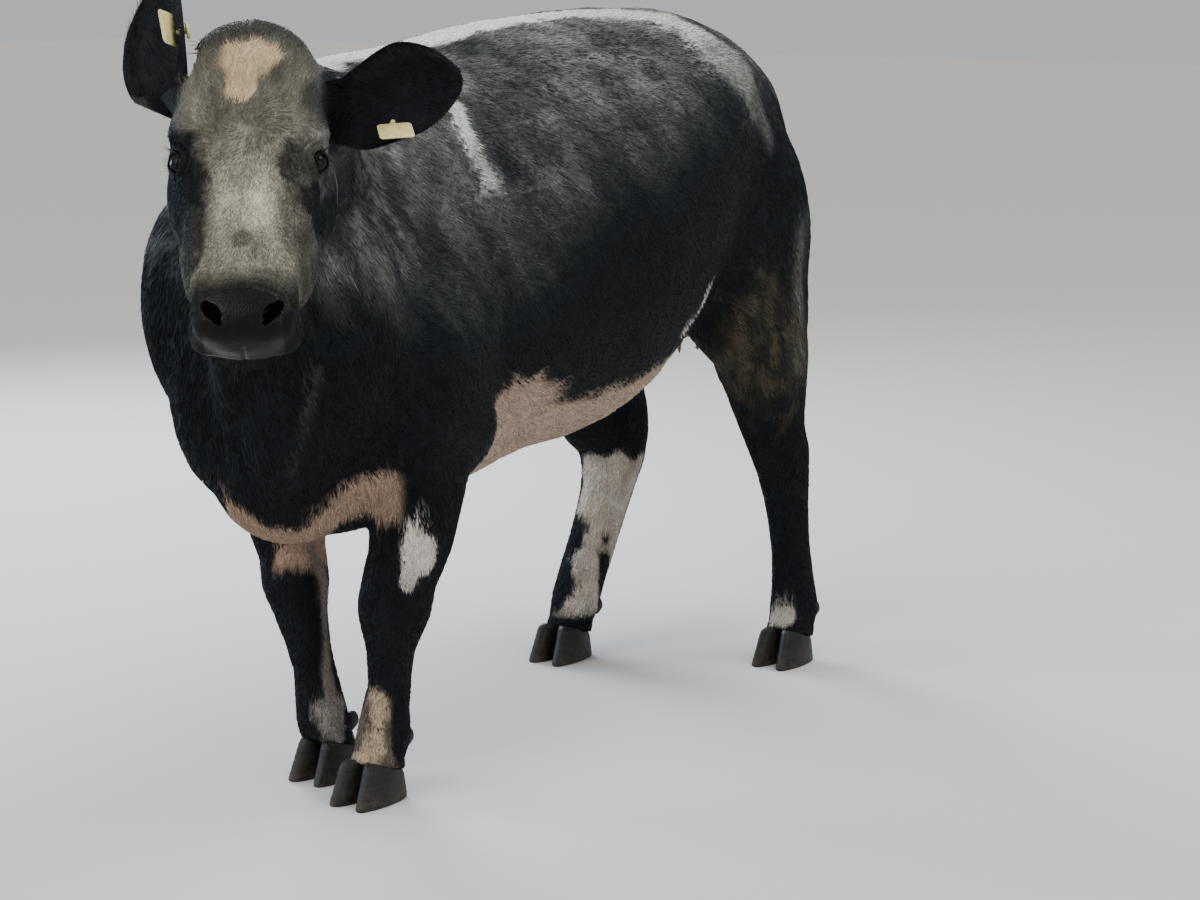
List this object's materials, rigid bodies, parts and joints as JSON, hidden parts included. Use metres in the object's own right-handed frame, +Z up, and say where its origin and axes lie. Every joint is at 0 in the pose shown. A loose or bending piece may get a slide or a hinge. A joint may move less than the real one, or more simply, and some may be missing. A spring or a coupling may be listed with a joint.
{
  "type": "belgian blue cross heifer",
  "caption": "Life-size standing heifer, heavily muscled, with its head turned to its left, cupped ears with bare tags, cloven hooves and a hanging tail.",
  "frame": {"origin": "on the floor, below the middle of the model's bounding box", "axes": "+Z up; the heifer faces -Y and its left side is +X"},
  "size_m": [0.725, 2.022, 1.4218],
  "materials": {
    "coat": "short blue roan hair",
    "horn": "worn dark hoof horn",
    "eye": "wet",
    "tag": "plain yellow sheet",
    "udder_skin": "bare skin",
    "tail_hair": "long hair"
  },
  "bodies": {
    "root": {"claw_foreleg_left_left": "horn", "claw_foreleg_left_right": "horn", "claw_foreleg_right_left": "horn", "claw_foreleg_right_right": "horn", "claw_hindleg_left_left": "horn", "claw_hindleg_left_right": "horn", "claw_hindleg_right_left": "horn", "claw_hindleg_right_right": "horn", "dewclaw_foreleg_left_left": "horn", "dewclaw_foreleg_left_right": "horn", "dewclaw_foreleg_right_left": "horn", "dewclaw_foreleg_right_right": "horn", "dewclaw_hindleg_left_left": "horn", "dewclaw_hindleg_left_right": "horn", "dewclaw_hindleg_right_left": "horn", "dewclaw_hindleg_right_right": "horn", "ear_button_left": "tag", "ear_button_right": "tag", "ear_left": "coat", "ear_right": "coat", "ear_tag_left": "tag", "ear_tag_right": "tag", "eye_left": "eye", "eye_right": "eye", "foreleg_left_lower": "coat", "foreleg_left_upper": "coat", "foreleg_right_lower": "coat", "foreleg_right_upper": "coat", "head": "coat", "hindleg_left_lower": "coat", "hindleg_left_upper": "coat", "hindleg_right_lower": "coat", "hindleg_right_upper": "coat", "hindquarters": "coat", "neck": "coat", "tail_lower": "coat", "tail_switch": "tail_hair", "tail_upper": "coat", "torso": "coat", "udder": "udder_skin"}
  },
  "joints": []
}
